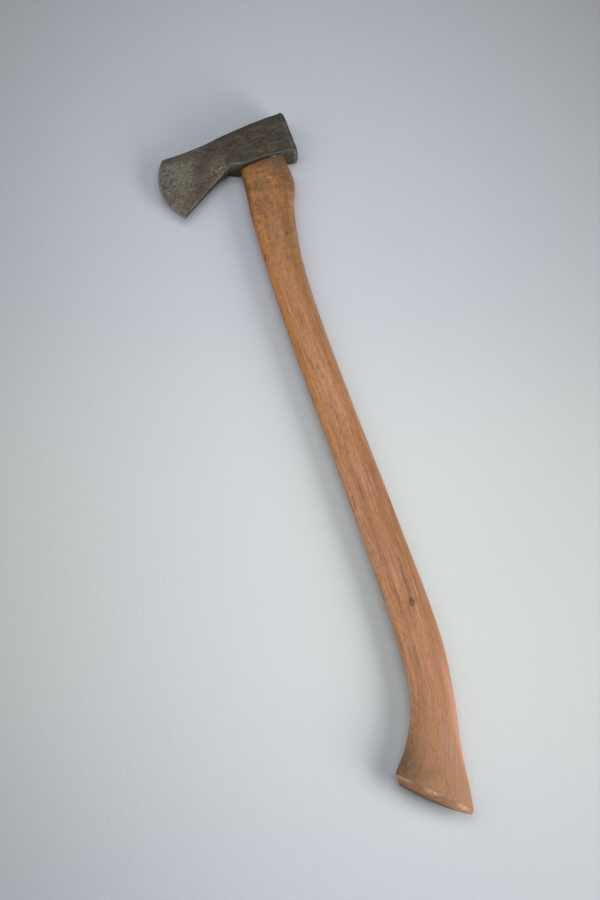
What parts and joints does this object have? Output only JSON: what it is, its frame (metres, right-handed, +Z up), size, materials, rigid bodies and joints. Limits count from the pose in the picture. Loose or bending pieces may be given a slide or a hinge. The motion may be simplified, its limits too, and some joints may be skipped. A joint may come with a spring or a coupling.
{
  "type": "axe",
  "caption": "Short axe with a forged head, flat poll, flared steel bit and wedged eye on a curved wooden haft with a slanted knob, for chopping wood.",
  "frame": {"origin": "on the surface that the axe lies on, under the middle of its box", "axes": "+Y along the haft from the knob to the head, +X from the cutting edge to the poll, +Z up out of the upper cheek"},
  "size_m": [0.1302, 0.6154, 0.024],
  "materials": {
    "forged_iron": "dark brown-grey forged iron with an aged, rubbed patina",
    "bit_steel": "ground steel, dulled and flecked with brown",
    "oiled_wood": "straight-grained hardwood, oiled and worn smooth by hands",
    "wedge_wood": "pale split hardwood",
    "wedge_steel": "dark mild steel, hammered flush"
  },
  "bodies": {
    "root": {"head_body": "forged_iron", "steel_bit": "bit_steel", "haft": "oiled_wood", "kerf_wedge": "wedge_wood", "cross_wedge_front": "wedge_steel", "cross_wedge_rear": "wedge_steel"}
  },
  "joints": []
}
